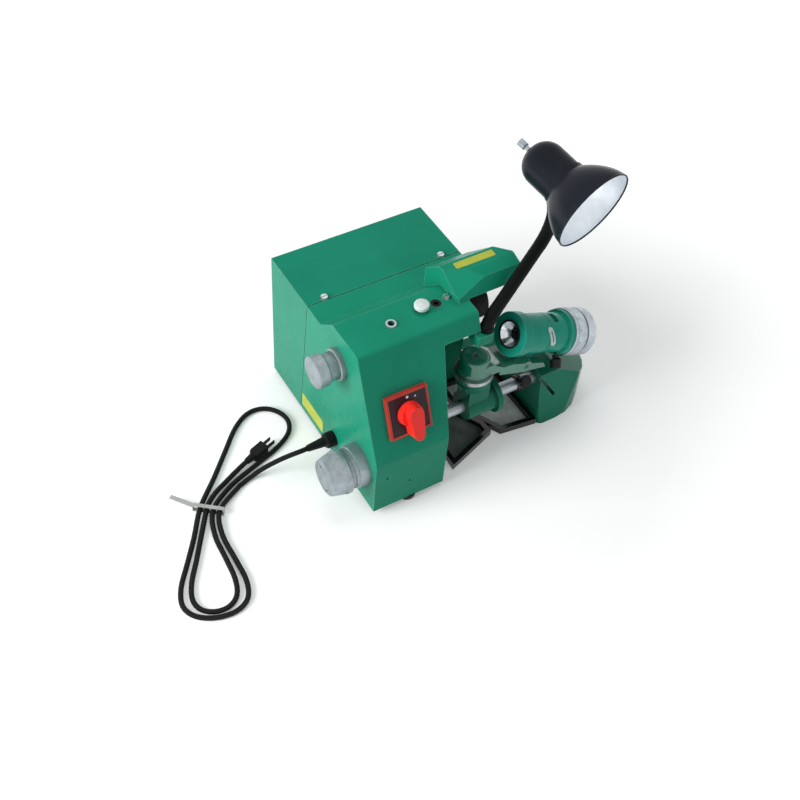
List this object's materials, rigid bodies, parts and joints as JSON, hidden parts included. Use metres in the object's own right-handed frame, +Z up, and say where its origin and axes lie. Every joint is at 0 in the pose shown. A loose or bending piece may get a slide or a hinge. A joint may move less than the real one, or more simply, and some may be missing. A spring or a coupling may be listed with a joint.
{
  "type": "router bit sharpener",
  "caption": "Bench-top universal cutter grinder for router bits: green cast body, cup wheel under a guard, tilting collet work head on a guide bar, feed knobs and a gooseneck lamp.",
  "frame": {"origin": "on the bench under the middle of the machine's plan, without the mains cord", "axes": "+X to the right as seen by the operator, -Y to the front, +Z up"},
  "size_m": [0.6658, 0.343, 0.4523],
  "materials": {
    "green_enamel": "gloss",
    "cast_aluminium": "satin",
    "bright_steel": "polished",
    "chrome": "polished",
    "pulley_metal": "satin",
    "black_rubber": "matte",
    "black_enamel": "satin",
    "black_plastic": "satin",
    "red_plastic": "gloss",
    "white_plastic": "gloss",
    "abrasive": "matte",
    "lamp_glass": "frosted"
  },
  "bodies": {
    "machine": {"body_casting": "green_enamel", "rear_cover": "green_enamel", "cover_screws": "bright_steel", "rubber_feet": "black_rubber", "base_arm": "green_enamel", "base_bolts": "bright_steel", "wheel_guard": "green_enamel", "guard_screw": "bright_steel", "oil_ring": "bright_steel", "socket_plug": "black_plastic", "motor_housing": "cast_aluminium", "drive_belt": "black_rubber", "feed_bush": "cast_aluminium", "shaft_bush": "cast_aluminium", "switch_body": "black_plastic", "switch_frame": "red_plastic", "switch_face": "black_plastic", "cable_gland": "black_rubber", "cord_lead": "black_rubber", "cord_hank": "black_rubber", "cord_tie": "white_plastic", "plug": "black_rubber", "chip_tray_right": "black_enamel"},
    "feed_knob": {"feed_dial": "cast_aluminium", "feed_screw": "bright_steel"},
    "quill_slide_unit": {"quill": "bright_steel", "feed_yoke": "cast_aluminium", "spindle_bearings": "bright_steel"},
    "wheel_spindle": {"spindle": "bright_steel", "spindle_pulley": "pulley_metal", "wheel_flange": "pulley_metal", "grinding_wheel": "abrasive", "wheel_nut": "chrome"},
    "motor_shaft": {"motor_rotor": "bright_steel", "motor_pulley": "pulley_metal"},
    "bar_knob": {"shaft_dial": "cast_aluminium", "shaft_screw": "bright_steel"},
    "bar_unit": {"guide_bar": "bright_steel", "bar_yoke": "cast_aluminium", "stop_collar": "black_enamel"},
    "stop_screw": {"stop_knob": "black_plastic"},
    "carriage_unit": {"carriage": "green_enamel", "swivel_ring": "bright_steel"},
    "hub_unit": {"swivel_hub": "green_enamel", "hub_screw": "bright_steel", "tilt_pin": "bright_steel"},
    "work_head": {"workhead_barrel": "green_enamel", "dial_pointer": "white_plastic"},
    "plunger": {"index_plunger": "black_plastic"},
    "index_unit": {"work_spindle": "bright_steel", "collet": "chrome", "index_dial": "cast_aluminium"},
    "lamp": {"gooseneck": "black_enamel", "lamp_holder": "black_enamel", "lamp_shade": "black_enamel", "lamp_bulb": "lamp_glass"},
    "lamp_key": {"lamp_switch": "chrome"},
    "selector": {"switch_knob": "red_plastic"},
    "lock": {"lock_button": "white_plastic"},
    "left_tray": {"chip_tray_left": "black_enamel"}
  },
  "joints": [
    {"name": "feed_turn", "type": "hinge", "parent": "machine", "child": "feed_knob", "pos_m": [-0.1855, -0.03617, 0.2], "axis": [1, 0, 0], "range_deg": [-540, 540]},
    {"name": "quill_slide", "type": "slide", "parent": "machine", "child": "quill_slide_unit", "axis": [1, 0, 0], "range_m": [-0.003, 0.003]},
    {"name": "wheel_spin", "type": "hinge", "parent": "quill_slide_unit", "child": "wheel_spindle", "pos_m": [0.0245, -0.02317, 0.216], "axis": [1, 0, 0], "continuous": true},
    {"name": "motor_spin", "type": "hinge", "parent": "machine", "child": "motor_shaft", "pos_m": [-0.0655, 0.09483, 0.099], "axis": [1, 0, 0], "continuous": true},
    {"name": "bar_turn", "type": "hinge", "parent": "machine", "child": "bar_knob", "pos_m": [-0.2055, -0.10117, 0.071], "axis": [1, 0, 0], "range_deg": [-900, 900]},
    {"name": "bar_slide", "type": "slide", "parent": "machine", "child": "bar_unit", "axis": [1, 0, 0], "range_m": [-0.005, 0.005]},
    {"name": "stop_turn", "type": "hinge", "parent": "bar_unit", "child": "stop_screw", "pos_m": [0.0935, -0.08117, 0.073], "axis": [0, -0.6428, 0.766], "range_deg": [-180, 180]},
    {"name": "carriage_swing", "type": "hinge", "parent": "bar_unit", "child": "carriage_unit", "pos_m": [0.0245, -0.08117, 0.073], "axis": [1, 0, 0], "range_deg": [0, 12]},
    {"name": "hub_swivel", "type": "hinge", "parent": "carriage_unit", "child": "hub_unit", "pos_m": [0.0135, -0.08117, 0.162], "axis": [0, 0, 1], "range_deg": [-10, 10]},
    {"name": "head_tilt", "type": "hinge", "parent": "hub_unit", "child": "work_head", "pos_m": [0.0865, -0.08117, 0.1285], "axis": [0, 1, 0], "range_deg": [-10, 5]},
    {"name": "spindle_index", "type": "hinge", "parent": "work_head", "child": "index_unit", "pos_m": [0.10532, -0.08117, 0.16637], "axis": [0.9205, 0, -0.3907], "continuous": true},
    {"name": "plunger_pull", "type": "slide", "parent": "work_head", "child": "plunger", "axis": [-0.3079, -0.6157, -0.7254], "range_m": [0, 0.004], "stiffness_N_per_m": 400, "springref_m": -0.002},
    {"name": "lamp_swivel", "type": "hinge", "parent": "machine", "child": "lamp", "pos_m": [0.0185, -0.08717, 0.22], "axis": [0, 0, 1], "range_deg": [-40, 8]},
    {"name": "lamp_key_turn", "type": "hinge", "parent": "lamp", "child": "lamp_key", "pos_m": [0.11007, -0.04145, 0.41375], "axis": [0.2037, -0.9585, -0.1994], "range_deg": [0, 90]},
    {"name": "switch_turn", "type": "hinge", "parent": "machine", "child": "selector", "pos_m": [-0.1115, -0.11545, 0.16112], "axis": [0, -0.9258, 0.3779], "range_deg": [-60, 0]},
    {"name": "lock_press", "type": "slide", "parent": "machine", "child": "lock", "axis": [0, 0, -1], "range_m": [0, 0.003], "stiffness_N_per_m": 400, "springref_m": -0.002},
    {"name": "left_tray_pull", "type": "slide", "parent": "machine", "child": "left_tray", "axis": [0, -1, 0], "range_m": [0, 0.04]}
  ],
  "couplings": [
    {"joint": "quill_slide", "follows": "feed_turn", "m_per_rad": 0.00031831},
    {"joint": "bar_slide", "follows": "bar_turn", "m_per_rad": 0.00031831},
    {"joint": "wheel_spin", "follows": "motor_spin", "ratio": 1.6667}
  ]
}
